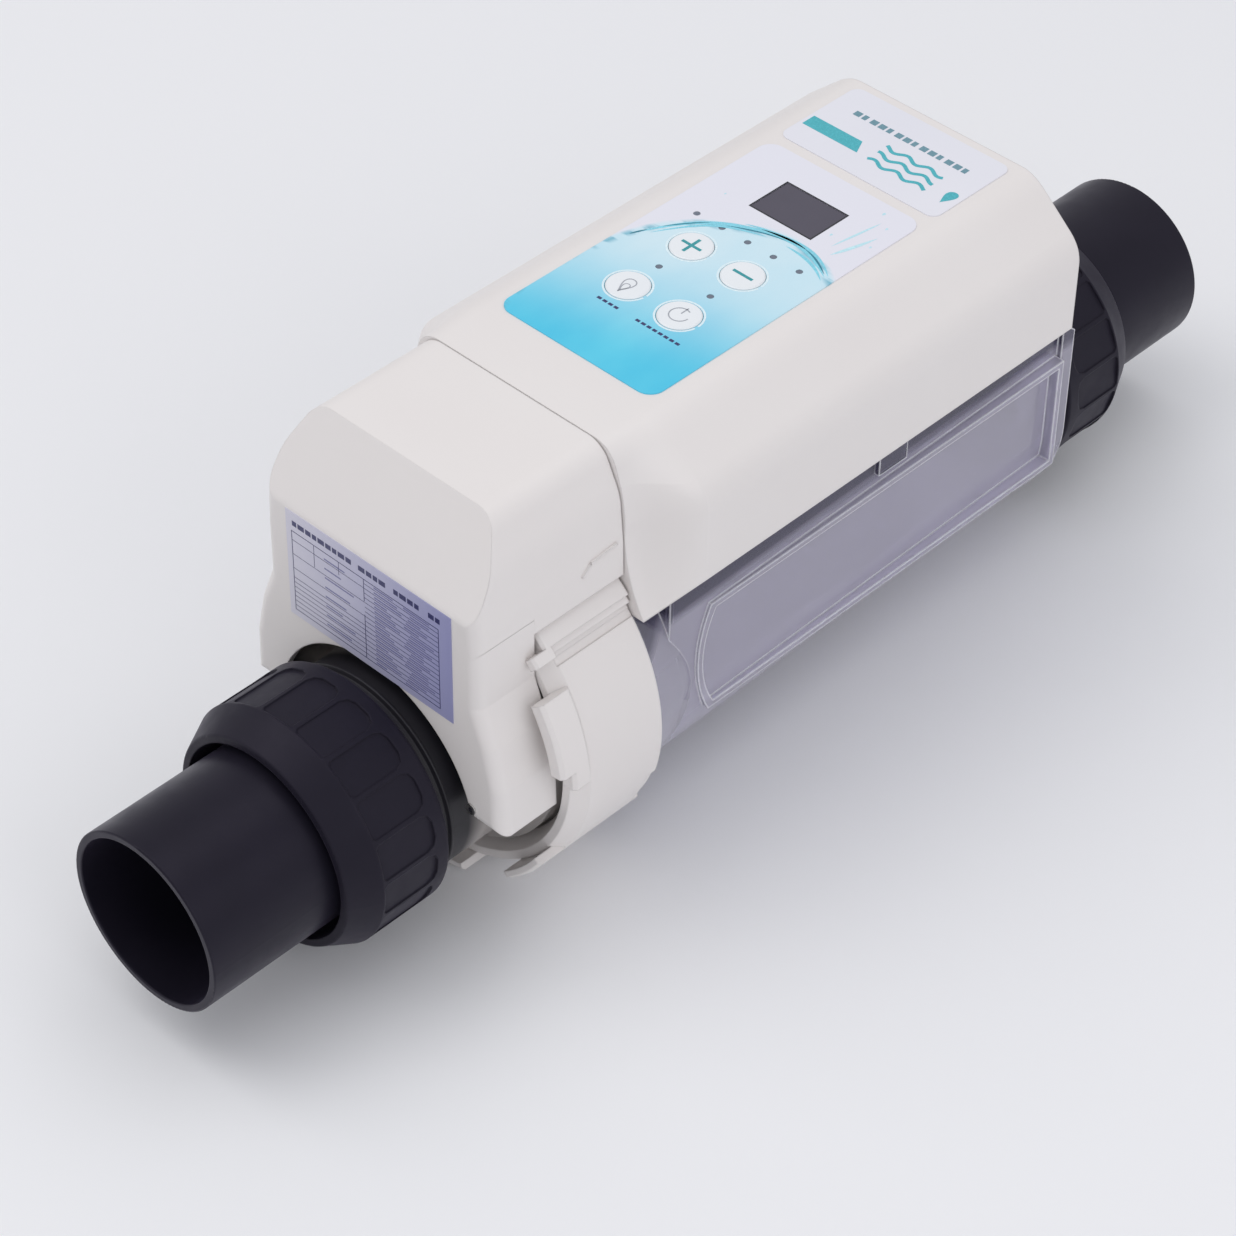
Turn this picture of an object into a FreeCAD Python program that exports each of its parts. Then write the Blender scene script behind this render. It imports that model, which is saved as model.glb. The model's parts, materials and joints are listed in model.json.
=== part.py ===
"""Inline salt chlorine generator for a small pool.

The frame: +Y runs along the pipe from the inlet to the outlet, +Z is up, and the origin is the centre of the
inlet socket's mouth. The lock ring, the electrode head's plug and the cell's mouth share a second axis that is
parallel to the pipe and raised by mouth_height. All lengths are in millimetres.
"""
import FreeCAD, Part
import Sketcher
import math
import os
import re

Vector = FreeCAD.Vector
Placement = FreeCAD.Placement
Rotation = FreeCAD.Rotation

SIZES = {
    # pipe line and its unions
    "overall_length": 514,
    "pipe_bore": 31.6,
    "socket_depth": 38,
    "tail_radius": 34.5,
    "tail_flange": 40.2,
    "flange_thick": 6,
    "tail_rim_round": 0.55,
    "union_face": 84,
    "water_bore": 29,
    "washer_thick": 2,
    "nut_front": 52,
    "nut_back": 94,
    "nut_lip": 40.8,
    "nut_mouth": 37.9,
    "nut_cone": 63.5,
    "nut_radius": 46.6,
    "nut_web_front": 69,
    "nut_thread": 42.5,
    "flute_count": 18,
    "flute_depth": 1.0,
    "flute_half": 7.1,
    "flute_back": 88,
    "spigot_radius": 40.8,
    "thread_crest": 42.2,
    "oring_radius": 34.6,
    "oring_half": 1.65,
    # round mouth, electrode head and lock ring
    "mouth_height": 17.5,
    "head_front": 131.5,
    "head_boss": 59,
    "flange_front": 142.5,
    "flange_back": 149.5,
    "head_flange": 65.5,
    "plug_radius": 57.6,
    "plug_back": 166,
    "mouth_bore": 57.9,
    "mouth_front": 150,
    "mouth_outer": 64,
    "mouth_thread": 65.8,
    "neck_radius": 66,
    "neck_front": 174,
    "neck_back": 214,
    "neck_end": 48.5,
    "ring_nose": 130,
    "ring_nose_radius": 66.6,
    "ring_throat": 63.4,
    "ring_front": 135.5,
    "ring_back": 171,
    "ring_inner": 66.3,
    "ring_radius": 70.6,
    "ring_lip": 60,
    "ring_tab": 72.8,
    "ring_tab_front": 121.5,
    "ring_lug_front": 122.5,
    "ring_rib": 75.2,
    "ring_rib_front": 131,
    # clear cell body
    "trough_front": 192,
    "cell_front": 206,
    "cell_back": 411,
    "cell_near_half": 53,
    "cell_far_half": 49.4,
    "cell_centre": 2,
    "cell_wall": 3,
    "deck_height": 66,
    "panel_plane": 54,
    "panel_front": 212,
    "panel_back": 403,
    "panel_low": -10,
    "panel_high": 39,
    "panel_bead": 2.6,
    "switch_place": 368,
    # electrode stack
    "plate_count": 8,
    "plate_pitch": 8.7,
    "plate_thick": 1,
    "plate_back": 350,
    "plate_low": -26,
    "plate_high": 44,
    # hood
    "hood_front": 103.5,
    "hood_back": 171.2,
    "hood_half": 50.9,
    "hood_top": 126,
    "hood_side_low": 76,
    "hood_low_back": 129.5,
    "hood_brow": 93,
    "hood_slope": 121.3,
    "hood_waist": 109,
    "hood_wall": 3,
    "hood_screw_side": 47,
    "hood_screw_height": 12,
    "spigot_notch": 47.5,
    # control housing
    "housing_front": 171.6,
    "housing_flare": 194,
    "housing_back": 387,
    "housing_half": 67,
    "housing_low": 69,
    "housing_low_back": 69.8,
    "shoulder_height": 105,
    "top_half": 43,
    "housing_wall": 3,
    "tray_floor": 66.5,
    "tray_thick": 2.5,
    "tray_step": 86.5,
    # panel
    "skin_thick": 0.4,
    "overlay_half": 36,
    "overlay_front": 198.5,
    "overlay_back": 335.5,
    "plate_half": 36.5,
    "name_front": 340.5,
    "name_back": 383,
    "window_half": 14,
    "window_front": 301.2,
    "window_back": 320.5,
    "button_side": 12,
    "button_near": 237.6,
    "button_far": 269,
    "button_radius": 7.9,
    "button_hole": 8.1,
    "lamp_row": 284.5,
    "lamp_low_row": 252.8,
    "lamp_radius": 1.2,
    "board_height": 113.4,
    "board_thick": 1.6,
}

doc = FreeCAD.newDocument("SaltChlorineGenerator")
sheet = doc.addObject("Spreadsheet::Sheet", "Sizes")
for row, (alias, number) in enumerate(SIZES.items(), start=1):
    sheet.set(f"A{row}", alias)
    sheet.set(f"B{row}", str(number))
    sheet.setAlias(f"B{row}", alias)
doc.recompute()

subparts = []


# ---------------------------------------------------------------- helpers


def linked(text):
    """Writes an expression's size names as references to the sheet."""
    return re.sub(r"[a-z][a-z_]+", lambda word: "Sizes." + word.group(0), str(text))


def bind(thing, **properties):
    """Binds properties of an object to expressions of the sheet's sizes."""
    for name, text in properties.items():
        thing.setExpression(name.replace("__", "."), linked(text))
    return thing


def keep(thing, label):
    """Counts an object as a sub-part of the assembly under the given name."""
    thing.Label = label
    subparts.append(thing)
    return thing


def new_body(name):
    return doc.addObject("PartDesign::Body", name)


def origin_feature(body, role):
    return next(item for item in body.Origin.OriginFeatures if item.Role == role)


def blank_sketch(body, name, plane, offset="0", turn=0.0):
    """A sketch on one of the body's own planes, moved along its normal and turned about the body's Y axis."""
    sketch = body.newObject("Sketcher::SketchObject", name)
    sketch.AttachmentSupport = [(origin_feature(body, plane), "")]
    sketch.MapMode = "FlatFace"
    sketch.AttachmentOffset = Placement(Vector(), Rotation(Vector(0, 1, 0), turn))
    sketch.setExpression("AttachmentOffset.Base.z", linked(offset))
    return sketch


def pin(sketch, geometry, point, across, up):
    """Holds one point of a sketch at two expressions of the sheet's sizes."""
    place = sketch.getPoint(geometry, point)
    for kind, value, text in (("DistanceX", place.x, across), ("DistanceY", place.y, up)):
        index = sketch.addConstraint(Sketcher.Constraint(kind, -1, 1, geometry, point, value))
        sketch.setExpression(f"Constraints[{index}]", linked(text))


def outline(sketch, points):
    """A closed polygon whose corners are pairs of expressions."""
    count = len(points)
    corners = [
        Vector(50 * math.cos(2 * math.pi * i / count), 50 * math.sin(2 * math.pi * i / count), 0)
        for i in range(count)
    ]
    for i in range(count):
        sketch.addGeometry(Part.LineSegment(corners[i], corners[(i + 1) % count]))
    for i in range(count):
        sketch.addConstraint(Sketcher.Constraint("Coincident", i, 2, (i + 1) % count, 1))
    for i, (across, up) in enumerate(points):
        pin(sketch, i, 1, across, up)


def turned(body, name, points, high=0.0, sweep=360.0, remove=False):
    """Turns a profile of (radius, y) corners about the body's Y axis, down from the angle high over sweep."""
    sketch = blank_sketch(body, name + "_profile", "XY_Plane", turn=-high)
    outline(sketch, points)
    kind = "PartDesign::Groove" if remove else "PartDesign::Revolution"
    feature = body.newObject(kind, name)
    feature.Profile = sketch
    feature.ReferenceAxis = (sketch, ["V_Axis"])
    feature.Angle = sweep
    body.Tip = feature
    return feature


def prism(body, name, points, start, length, plane="XZ_Plane", remove=False):
    """A straight feature along +Y from y = start, or along +X or +Z when another plane is named."""
    backward = plane == "XZ_Plane"
    sketch = blank_sketch(body, name + "_outline", plane, offset=f"-({start})" if backward else start)
    outline(sketch, points)
    feature = body.newObject("PartDesign::Pocket" if remove else "PartDesign::Pad", name)
    feature.Profile = sketch
    feature.Reversed = backward != remove
    feature.setExpression("Length", linked(length))
    body.Tip = feature
    return feature


def edges_where(feature, test):
    """Names of the edges whose two ends pass a test on (x, y, z); a full circle has one end, given twice."""
    doc.recompute()
    names = []
    for number, edge in enumerate(feature.Shape.Edges, start=1):
        ends = [vertex.Point for vertex in edge.Vertexes]
        if test(ends[0], ends[-1]):
            names.append(f"Edge{number}")
    return names


def rounded(body, name, radius, test):
    """Rounds the edges of the body's tip that pass a test."""
    base = body.Tip
    names = edges_where(base, test)
    feature = body.newObject("PartDesign::Fillet", name)
    feature.Base = (base, names)
    bind(feature, Radius=radius)
    body.Tip = feature
    return feature


def near(value, target, slack=0.05):
    return abs(value - target) < slack


def box(name, x, y, z, length, width, height):
    """A box from its low corner, every size an expression."""
    item = doc.addObject("Part::Box", name)
    bind(item, Length=length, Width=width, Height=height)
    bind(item, Placement__Base__x=x, Placement__Base__y=y, Placement__Base__z=z)
    return item


AXES = {
    "x": Rotation(Vector(0, 0, 1), Vector(1, 0, 0)),
    "y": Rotation(Vector(0, 0, 1), Vector(0, 1, 0)),
    "z": Rotation(),
}


def cylinder(name, x, y, z, radius, height, axis="z"):
    """A cylinder from the centre of its low end along an axis."""
    item = doc.addObject("Part::Cylinder", name)
    item.Placement = Placement(Vector(), AXES[axis])
    bind(item, Radius=radius, Height=height)
    bind(item, Placement__Base__x=x, Placement__Base__y=y, Placement__Base__z=z)
    return item


def hexagon(name, x, y, z, radius, height, axis="z"):
    item = doc.addObject("Part::Prism", name)
    item.Polygon = 6
    item.Placement = Placement(Vector(), AXES[axis])
    bind(item, Circumradius=radius, Height=height)
    bind(item, Placement__Base__x=x, Placement__Base__y=y, Placement__Base__z=z)
    return item


def fused(name, items):
    item = doc.addObject("Part::MultiFuse", name)
    item.Shapes = items
    return item


def cut(name, base, tool):
    item = doc.addObject("Part::Cut", name)
    item.Base = base
    item.Tool = tool
    return item


def shared(name, first, second):
    item = doc.addObject("Part::MultiCommon", name)
    item.Shapes = [first, second]
    return item


def group(name, items):
    """Separate solids that share one name."""
    item = doc.addObject("Part::Compound", name)
    item.Links = items
    return item


def signed(side, text):
    return text if side > 0 else f"-({text})"


# ---------------------------------------------------------------- unions


def tailpiece(side):
    body = new_body(side + "_tail")
    turned(body, side + "_tail_turned", [
        ("pipe_bore", "0"),
        ("tail_radius", "0"),
        ("tail_radius", "union_face - flange_thick"),
        ("tail_flange", "union_face - flange_thick"),
        ("tail_flange", "union_face"),
        ("water_bore", "union_face"),
        ("water_bore", "socket_depth"),
        ("pipe_bore", "socket_depth"),
    ])
    rounded(body, side + "_tail_rim", "tail_rim_round", lambda a, b: near(a.y, 0) and near(b.y, 0))
    return keep(body, side + "_tailpiece")


def thrust_washer(side):
    body = new_body(side + "_washer")
    low = "union_face - flange_thick - 0.1 - washer_thick"
    turned(body, side + "_washer_turned", [
        ("tail_radius + 0.06", low),
        ("tail_flange", low),
        ("tail_flange", low + " + washer_thick"),
        ("tail_radius + 0.06", low + " + washer_thick"),
    ])
    return keep(body, side + "_thrust_washer")


def union_nut(side):
    """A union nut: an open mouth round the tailpiece, a cone, and a ring of shallow finger flutes."""
    body = new_body(side + "_nut")
    body.Placement.Rotation = Rotation(Vector(0, 1, 0), 5)
    web_back = "union_face - flange_thick - washer_thick - 0.2"
    turned(body, side + "_nut_turned", [
        ("nut_mouth", "nut_front"),
        ("nut_lip", "nut_front"),
        ("nut_radius", "nut_cone"),
        ("nut_radius", "nut_back"),
        ("nut_thread", "nut_back"),
        ("nut_thread", web_back),
        ("tail_radius + 0.5", web_back),
        ("tail_radius + 0.5", "nut_web_front"),
        ("nut_mouth", "nut_web_front"),
    ])
    back, front = sheet.nut_back, sheet.nut_front
    rounded(body, side + "_nut_rim", "1.8", lambda a, b: near(a.y, back) and a.x > sheet.nut_thread + 1)
    rounded(body, side + "_nut_nose", "1", lambda a, b: near(a.y, front) and a.x > sheet.nut_mouth + 1)
    sketch = blank_sketch(body, side + "_flute_outline", "YZ_Plane", "nut_radius - flute_depth")
    outline(sketch, [
        ("nut_cone + 0.7", "-(flute_half - 1.2)"),
        ("nut_cone + 1.9", "-(flute_half)"),
        ("flute_back - 4", "-(flute_half)"),
        ("flute_back - 1.2", "-(flute_half - 1.2)"),
        ("flute_back", "-(flute_half - 4)"),
        ("flute_back", "flute_half - 4"),
        ("flute_back - 1.2", "flute_half - 1.2"),
        ("flute_back - 4", "flute_half"),
        ("nut_cone + 1.9", "flute_half"),
        ("nut_cone + 0.7", "flute_half - 1.2"),
    ])
    flute = body.newObject("PartDesign::Pocket", side + "_flute")
    flute.Profile = sketch
    flute.Reversed = True
    flute.Length = 6
    body.Tip = flute
    around = body.newObject("PartDesign::PolarPattern", side + "_flutes")
    around.Originals = [flute]
    around.Axis = (origin_feature(body, "Y_Axis"), [""])
    around.Angle = 360
    bind(around, Occurrences="flute_count")
    body.Tip = around
    return keep(body, side + "_union_nut")


def union_oring(side):
    item = doc.addObject("Part::Torus", side + "_oring_ring")
    item.Placement = Placement(Vector(), AXES["y"])
    bind(item, Radius1="oring_radius", Radius2="oring_half")
    bind(item, Placement__Base__y="union_face + oring_half + 0.02")
    return keep(item, side + "_union_oring")


def build_unions():
    """Both unions are the same pieces; the outlet's are turned round to face the other way."""
    about_face = Rotation(Vector(0, 0, 1), 180)
    for side in ("inlet", "outlet"):
        pieces = [make(side) for make in (tailpiece, thrust_washer, union_nut, union_oring)]
        if side == "outlet":
            for piece in pieces:
                depth = "overall_length"
                if piece.TypeId == "Part::Torus":
                    depth = "overall_length - union_face - oring_half - 0.02"
                piece.Placement = Placement(Vector(), about_face.multiply(piece.Placement.Rotation))
                bind(piece, Placement__Base__y=depth)


# ---------------------------------------------------------------- electrode head and lock ring


def threaded_spigot(prefix, face, back, direction):
    """A spigot on the pipe's axis with rounded-off thread turns as rings, from its sealing face to its root."""
    body = new_body(prefix + "_spigot")
    step = "+" if direction > 0 else "-"
    turned(body, prefix + "_barrel", [
        ("water_bore + 1", face),
        ("spigot_radius", face),
        ("spigot_radius", back),
        ("water_bore + 1", back),
    ])
    for number in range(4):
        start = f"{face} {step} {2 + 4 * number}"
        turned(body, f"{prefix}_thread_{number}", [
            ("spigot_radius - 0.2", start),
            ("thread_crest", f"{start} {step} 0.9"),
            ("thread_crest", f"{start} {step} 1.7"),
            ("spigot_radius - 0.2", f"{start} {step} 2.6"),
        ])
    turned(body, prefix + "_seal_groove", [
        ("oring_radius - oring_half - 0.1", f"{face} {step} 3.5"),
        ("oring_radius + oring_half + 0.1", f"{face} {step} 3.5"),
        ("oring_radius + oring_half + 0.1", f"{face} {'-' if direction > 0 else '+'} 1"),
        ("oring_radius - oring_half - 0.1", f"{face} {'-' if direction > 0 else '+'} 1"),
    ], remove=True)
    return body


def electrode_head():
    """The round plug that carries the plates, its flange and boss, and the inlet spigot below its centre."""
    plug = new_body("head_plug")
    plug.Placement.Base.z = SIZES["mouth_height"]
    bind(plug, Placement__Base__z="mouth_height")
    turned(plug, "head_turned", [
        ("0", "head_front"),
        ("head_boss", "head_front"),
        ("head_boss", "flange_front"),
        ("head_flange", "flange_front"),
        ("head_flange", "flange_back"),
        ("plug_radius", "flange_back"),
        ("plug_radius", "plug_back"),
        ("0", "plug_back"),
    ])
    turned(plug, "head_seal_groove", [
        ("plug_radius - 2.5", "155"),
        ("plug_radius + 1", "155"),
        ("plug_radius + 1", "158.2"),
        ("plug_radius - 2.5", "158.2"),
    ], remove=True)
    spigot = threaded_spigot("inlet", "union_face", "head_front + 1", 1)
    posts = [
        cylinder(f"hood_post_{side + 1}", signed(side, "hood_screw_side"), "hood_front + hood_wall",
                 "hood_screw_height", "4.2", "head_front - hood_front - hood_wall + 1", "y")
        for side in (-1, 1)
    ]
    whole = fused("head_whole", [plug, spigot] + posts)
    bore = cylinder("head_bore", "0", "union_face - 1", "0", "water_bore + 1", "plug_back - union_face + 2", "y")
    pilots = [
        cylinder(f"hood_pilot_{side + 1}", signed(side, "hood_screw_side"), "hood_front", "hood_screw_height",
                 "1.5", "20", "y")
        for side in (-1, 1)
    ]
    keep(cut("head_bored", whole, fused("head_holes", [bore] + pilots)), "electrode_head")


def mouth_oring():
    item = doc.addObject("Part::Torus", "mouth_seal")
    item.Placement = Placement(Vector(), AXES["y"])
    bind(item, Radius1="plug_radius - 1.1", Radius2="1.35", Placement__Base__z="mouth_height")
    bind(item, Placement__Base__y="156.6")
    keep(item, "mouth_oring")


def lock_ring():
    """The turning ring that holds the head in the cell's mouth: a nosed band with finger pads, lugs and ribs."""
    body = new_body("ring")
    bind(body, Placement__Base__z="mouth_height")
    turned(body, "ring_band", [
        ("ring_lip", "ring_front + 2"),
        ("ring_throat", "ring_nose"),
        ("ring_nose_radius", "ring_nose"),
        ("ring_radius - 0.7", "ring_front - 0.6"),
        ("ring_radius", "ring_front + 0.5"),
        ("ring_radius", "ring_back - 0.6"),
        ("ring_radius - 0.6", "ring_back"),
        ("ring_inner", "ring_back"),
        ("ring_inner", "flange_front - 0.3"),
        ("ring_lip", "flange_front - 0.3"),
    ])

    def pad(front, radius):
        return [
            ("ring_inner + 1", front),
            (f"{radius} - 1.2", front),
            (radius, f"{front} + 1.4"),
            (radius, "ring_front - 1.6"),
            ("ring_radius - 0.6", "ring_front + 0.6"),
            ("ring_inner + 1", "ring_front + 0.6"),
        ]

    for number, (high, sweep) in enumerate(((32, 23), (231, 23))):
        turned(body, f"ring_pad_{number}", pad("ring_tab_front", "ring_tab"), high, sweep)
        turned(body, f"ring_pad_end_{number}", pad("ring_tab_front + 5", "ring_tab"), high - sweep, 6)
    for number, (high, sweep) in enumerate(((-32, 19), (-72, 38), (-126, 14))):
        turned(body, f"ring_lug_{number}", pad("ring_lug_front", "ring_radius"), high, sweep)
    rib = [
        ("ring_inner + 1", "ring_rib_front"),
        ("ring_rib - 1", "ring_rib_front"),
        ("ring_rib", "ring_rib_front + 1"),
        ("ring_rib", "ring_back - 1"),
        ("ring_rib - 1", "ring_back"),
        ("ring_inner + 1", "ring_back"),
    ]
    shoulder = [
        ("ring_inner + 1", "ring_rib_front + 2"),
        ("ring_rib - 2.2", "ring_rib_front + 2"),
        ("ring_rib - 1.7", "ring_back - 1"),
        ("ring_rib - 2.7", "ring_back"),
        ("ring_inner + 1", "ring_back"),
    ]
    groove = [
        ("ring_radius - 0.8", "ring_front"),
        ("ring_radius + 1", "ring_front"),
        ("ring_radius + 1", "ring_back + 1"),
        ("ring_radius - 0.8", "ring_back + 1"),
    ]
    hook = [
        ("ring_rib - 4", "ring_rib_front - 6"),
        ("ring_rib - 1", "ring_rib_front - 6"),
        ("ring_rib", "ring_rib_front - 5"),
        ("ring_rib", "ring_rib_front + 3"),
        ("ring_rib - 4", "ring_rib_front + 3"),
    ]
    for number, high in enumerate((53, 229)):
        turned(body, f"ring_groove_{number}", groove, high - 12.5, 2.5, remove=True)
        turned(body, f"ring_rib_{number}", rib, high, 9)
        turned(body, f"ring_rib_shoulder_{number}", shoulder, high - 8.5, 2.5)
        turned(body, f"ring_rib_hook_{number}", hook, high - 8.8, 3.2)
    step = [
        ("ring_radius - 1.2", "ring_back - 5"),
        ("ring_radius + 1", "ring_back - 5"),
        ("ring_radius + 1", "ring_back + 1"),
        ("ring_radius - 1.2", "ring_back + 1"),
    ]
    for number, high in enumerate((-16, -148)):
        turned(body, f"ring_step_{number}", step, high, 16, remove=True)
    keep(body, "lock_ring")


def electrode_plates():
    plates = [
        box(f"plate_{number}", f"({number} - (plate_count - 1) / 2) * plate_pitch - plate_thick / 2", "plug_back",
            "plate_low", "plate_thick", "plate_back - plug_back", "plate_high - plate_low")
        for number in range(SIZES["plate_count"])
    ]
    keep(group("plate_stack", plates), "electrode_plates")


def plate_spacers():
    bars = []
    for number, depth in enumerate(("plug_back + 34", "plate_back - 30")):
        bars.append(box(f"spacer_top_{number}", "-30.8", depth, "plate_high", "61.6", "7", "4"))
        bars.append(box(f"spacer_low_{number}", "-30.8", depth, "plate_low - 3", "61.6", "7", "3"))
    keep(group("spacer_bars", bars), "plate_spacers")


def terminals():
    studs = []
    nuts = []
    for side in (-1, 1):
        x = signed(side, "20")
        studs.append(cylinder(f"stud_{side + 1}", x, "head_front - 20", "60", "3", "20", "y"))
        nut = hexagon(f"stud_nut_blank_{side + 1}", x, "head_front - 8", "60", "6", "5", "y")
        hole = cylinder(f"stud_nut_hole_{side + 1}", x, "head_front - 9", "60", "3.02", "7", "y")
        nuts.append(cut(f"stud_nut_{side + 1}", nut, hole))
    keep(group("stud_pair", studs), "terminal_studs")
    keep(group("stud_nut_pair", nuts), "terminal_nuts")


def temperature_sensor():
    body = new_body("sensor")
    body.Placement.Base.z = 62
    turned(body, "sensor_turned", [
        ("0", "plug_back"),
        ("5", "plug_back"),
        ("5", "plug_back + 3"),
        ("3", "plug_back + 4"),
        ("3", "plug_back + 16"),
        ("2", "plug_back + 18"),
        ("0", "plug_back + 18"),
    ])
    keep(body, "temperature_sensor")


# ---------------------------------------------------------------- hood


def hood_block(prefix, inset, start, end):
    """The hood's outer form, or the same form drawn in by its wall to hollow it."""
    body = new_body(prefix)
    half = f"hood_half - {inset}"
    top = f"hood_top - {inset}"
    side = [(half, f"hood_side_low - {inset}"), (f"{half} - 0.4", "90"), (f"{half} - 2.1", "hood_waist"),
            (f"{half} - 10.4", top)]
    prism(body, prefix + "_upper", side + [(f"-({across})", up) for across, up in reversed(side)],
          start, f"{end} - ({start})")
    lower = [("hood_half", "hood_side_low + 6"), ("hood_half", "58"), ("56.6", "43"), ("60.4", "26"), ("61", "6")]
    right = [(f"{across} - {inset}", f"{up} - 2 * {inset}" if up == "6" else up) for across, up in lower]
    left = [(f"-({across})", up) for across, up in reversed(right)]
    prism(body, prefix + "_lower", right + left, start, f"hood_low_back + {inset} / 3 - ({start})")
    prism(body, prefix + "_slope", [
        (f"hood_front - 1 + {inset}", f"hood_brow - 1.84 - {inset} * 0.63"),
        (f"hood_slope + {inset}", f"hood_top - {inset} * 0.63"),
        (f"hood_slope + {inset}", "hood_top + 20"),
        (f"hood_front - 1 + {inset}", "hood_top + 20"),
    ], "-70", "140", plane="YZ_Plane", remove=True)
    return body


def runs_along(a, b):
    return near(a.x, b.x) and near(a.z, b.z) and abs(a.y - b.y) > 8


def round_hood(body, prefix, inset):
    """Rounds the two bends of each shoulder."""
    top = SIZES["hood_top"] - inset
    waist = SIZES["hood_waist"]
    rounded(body, prefix + "_shoulders", f"10 - {inset}", lambda a, b: runs_along(a, b) and near(a.z, top))
    rounded(body, prefix + "_waists", f"24 - {inset}", lambda a, b: runs_along(a, b) and near(a.z, waist))


def hood():
    outer = hood_block("hood_outer", "0", "hood_front", "hood_back")
    round_hood(outer, "hood_outer", 0)
    front = SIZES["hood_front"]
    rounded(outer, "hood_face_edges", "5", lambda a, b: near(a.y, front) and near(b.y, front))
    inner = hood_block("hood_inner", "hood_wall", "hood_front + hood_wall", "hood_back + 1")
    round_hood(inner, "hood_inner", SIZES["hood_wall"])
    notch = cylinder("spigot_notch_tool", "0", "hood_front - 1", "0", "spigot_notch", "hood_wall + 3", "y")
    screws = [
        cylinder(f"hood_hole_{side + 1}", signed(side, "hood_screw_side"), "hood_front - 1", "hood_screw_height",
                 "1.8", "hood_wall + 3", "y")
        for side in (-1, 1)
    ]
    keep(cut("hood_shell", outer, fused("hood_tools", [inner, notch] + screws)), "hood")


def hood_screws():
    screws = []
    for side in (-1, 1):
        x = signed(side, "hood_screw_side")
        head = cylinder(f"hood_screw_head_{side + 1}", x, "hood_front - 0.6", "hood_screw_height", "2.2", "0.6", "y")
        shank = cylinder(f"hood_screw_shank_{side + 1}", x, "hood_front", "hood_screw_height", "1.48", "16", "y")
        screws.append(fused(f"hood_screw_{side + 1}", [head, shank]))
    keep(group("hood_screw_pair", screws), "hood_screws")


def rating_label():
    keep(box("rating_sheet", "-39.3", "hood_front - 0.25", "46", "78.6", "0.25", "46"), "rating_label")


# ---------------------------------------------------------------- clear cell


def u_wire(depth, half, centre, top):
    """A U outline across the pipe: a half circle below two straight sides and a flat top."""
    left, right = Vector(-half, depth, centre), Vector(half, depth, centre)
    upper_left, upper_right = Vector(-half, depth, top), Vector(half, depth, top)
    bottom = Part.Arc(left, Vector(0, depth, centre - half), right).toShape()
    sides = [Part.makeLine(right, upper_right), Part.makeLine(upper_right, upper_left),
             Part.makeLine(upper_left, left)]
    return Part.Wire([bottom] + sides)


def ring_wire(depth, radius, centre):
    return Part.Wire(Part.makeCircle(radius, Vector(0, depth, centre), Vector(0, 1, 0)))


def along_y(radius, start, end, height):
    return Part.makeCylinder(radius, end - start, Vector(0, start, height), Vector(0, 1, 0))


def cell_form(inset, start, end):
    """The cell's outside, or its inside when drawn in by the wall: mouth, flared neck and long U trough."""
    centre = sheet.cell_centre
    neck = Part.makeLoft([
        ring_wire(sheet.neck_front, sheet.neck_radius - inset * 3, sheet.mouth_height),
        ring_wire(sheet.neck_back, sheet.neck_end - inset, centre),
    ], True, True)
    trough = Part.makeLoft([
        u_wire(start, sheet.cell_near_half - inset, centre, sheet.deck_height - inset),
        u_wire(end, sheet.cell_far_half - inset, centre, sheet.deck_height - inset),
    ], True, True)
    return neck.fuse(trough)


def rear_slope(inset):
    """The wedge that leaves the cell's roof sloping down to its rear end."""
    run, fall, beyond = 23, 18, 11.5
    length = math.hypot(run, fall)
    back = sheet.cell_back - inset * fall / length
    top = sheet.deck_height - inset * run / length
    start = Vector(-70, back - run - beyond, top + beyond * fall / run)
    end = Vector(-70, back + beyond, top - fall - beyond * fall / run)
    roof = top + 20
    corners = [start, end, Vector(-70, end.y, roof), Vector(-70, start.y, roof), start]
    return Part.Face(Part.makePolygon(corners)).extrude(Vector(140, 0, 0))


def side_panel(side):
    """A raised frame on the trough's side whose near end bulges towards the neck."""
    def framed(inset):
        front, back = sheet.panel_front + inset, sheet.panel_back - inset
        low, high = sheet.panel_low + inset, sheet.panel_high - inset
        middle = (low + high) / 2
        corners = [Vector(0, front, low), Vector(0, front - 6, middle), Vector(0, front, high),
                   Vector(0, back, high), Vector(0, back, low)]
        bulge = Part.Arc(corners[0], corners[1], corners[2]).toShape()
        edges = [Part.makeLine(corners[i], corners[(i + 1) % 5]) for i in (2, 3, 4)]
        return Part.Face(Part.Wire([bulge] + edges))
    depth = sheet.panel_plane - 44
    frame = framed(0).extrude(Vector(depth, 0, 0)).cut(framed(sheet.panel_bead).extrude(Vector(depth, 0, 0)))
    frame.translate(Vector(44, 0, 0))
    if side < 0:
        frame = frame.mirror(Vector(), Vector(1, 0, 0))
    return frame


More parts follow.
